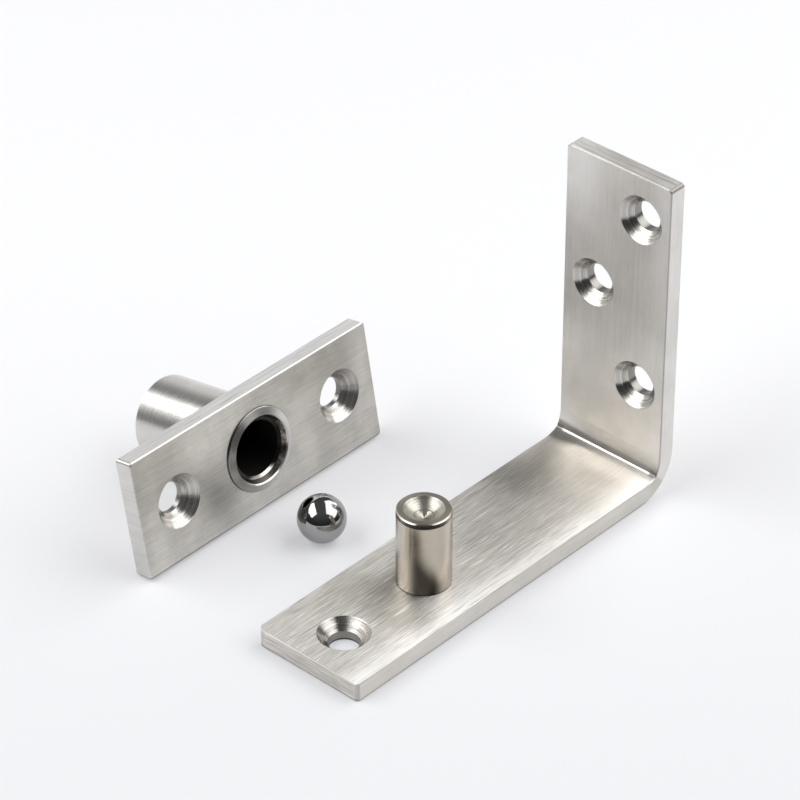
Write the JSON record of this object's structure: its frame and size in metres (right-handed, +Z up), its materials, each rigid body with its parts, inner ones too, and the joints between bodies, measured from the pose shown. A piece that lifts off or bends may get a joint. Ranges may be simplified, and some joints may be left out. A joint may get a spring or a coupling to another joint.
{
  "type": "pivot hinge",
  "caption": "Door pivot hinge in its separate pieces: angle bracket with a pivot pin and ball cup, a loose bearing ball, and a flat socket plate with a blind turned barrel.",
  "frame": {"origin": "the pivot pin's axis at the underside of the bracket's lying leg, the plane that every piece stands on", "axes": "+X along the lying leg from its free end to the upright, +Z up along the pin, +Y towards the ball and the socket"},
  "size_m": [0.0889, 0.0809, 0.0686],
  "materials": {
    "bracket_steel": "brushed along the bar",
    "pin_steel": "turned and polished",
    "ball_steel": "mirror polished",
    "plate_steel": "brushed along the plate",
    "barrel_steel": "turned, satin"
  },
  "bodies": {
    "root": {"angle_bracket": "bracket_steel", "pivot_pin": "pin_steel", "steel_ball": "ball_steel", "socket_plate": "plate_steel", "socket_barrel": "barrel_steel"}
  },
  "joints": []
}
